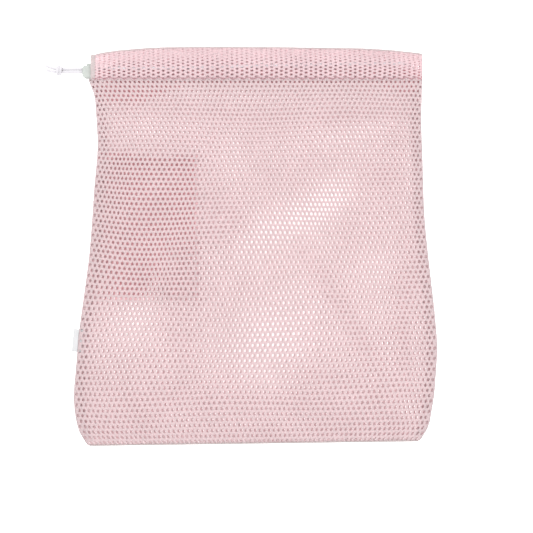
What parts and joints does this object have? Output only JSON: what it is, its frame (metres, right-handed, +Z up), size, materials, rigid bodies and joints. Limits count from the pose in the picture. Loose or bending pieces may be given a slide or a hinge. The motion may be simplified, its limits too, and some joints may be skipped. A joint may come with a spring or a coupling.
{
  "type": "mesh laundry bag",
  "caption": "Flat mesh laundry bag with a folded drawstring casing, a sprung cord lock, a knotted cord, an inner pocket and a seam label.",
  "frame": {"origin": "under the middle of the bag as it lies flat, on the surface it rests on", "axes": "+X across the bag towards its closed side, away from the cord lock; +Y from the bottom fold towards the mouth; +Z up from the surface"},
  "size_m": [0.4707, 0.4771, 0.0168],
  "materials": {
    "mesh": "knitted polyester net",
    "casing_mesh": "knitted polyester net, folded double",
    "thread": "sewing thread",
    "label": "woven satin tape",
    "cord": "braided polyester cord",
    "lock_plastic": "frosted translucent plastic",
    "spring_wire": "bright spring wire"
  },
  "bodies": {
    "root": {"back_panel": "mesh", "front_panel": "mesh", "side_seam_left": "mesh", "side_seam_right": "mesh", "side_stitch_left": "thread", "side_stitch_right": "thread", "casing_front": "casing_mesh", "casing_back": "casing_mesh", "casing_end": "casing_mesh", "casing_hem_front": "casing_mesh", "casing_hem_back": "casing_mesh", "casing_stitch_front": "thread", "casing_stitch_back": "thread", "pocket_panel": "mesh", "pocket_hem": "mesh", "pocket_stitch": "thread"},
    "drawstring": {"drawstring": "cord", "strand_front": "cord", "strand_back": "cord", "tail_front": "cord", "tail_back": "cord", "knot": "cord"},
    "cord_lock": {"lock_barrel": "lock_plastic", "lock_spring": "spring_wire"},
    "lock_button": {"lock_button": "lock_plastic"},
    "label": {"label": "label"}
  },
  "joints": [
    {"name": "drawstring_pull", "type": "slide", "parent": "root", "child": "drawstring", "axis": [-1, 0, 0], "range_m": [0, 0.18], "deforming": ["casing_front", "casing_back", "casing_end", "casing_stitch_back", "casing_hem_front", "casing_hem_back"]},
    {"name": "lock_slide", "type": "slide", "parent": "drawstring", "child": "cord_lock", "axis": [-1, 0, 0], "range_m": [0, 0.0232]},
    {"name": "button_press", "type": "slide", "parent": "cord_lock", "child": "lock_button", "axis": [0, -1, 0], "range_m": [0, 0.0024], "stiffness_N_per_m": 800, "springref_m": -0.004, "deforming": ["lock_spring"]},
    {"name": "label_flap", "type": "hinge", "parent": "root", "child": "label", "pos_m": [-0.212, -0.1124, 0.001], "axis": [0.092, 0.9958, 0], "range_deg": [0, 145]}
  ]
}
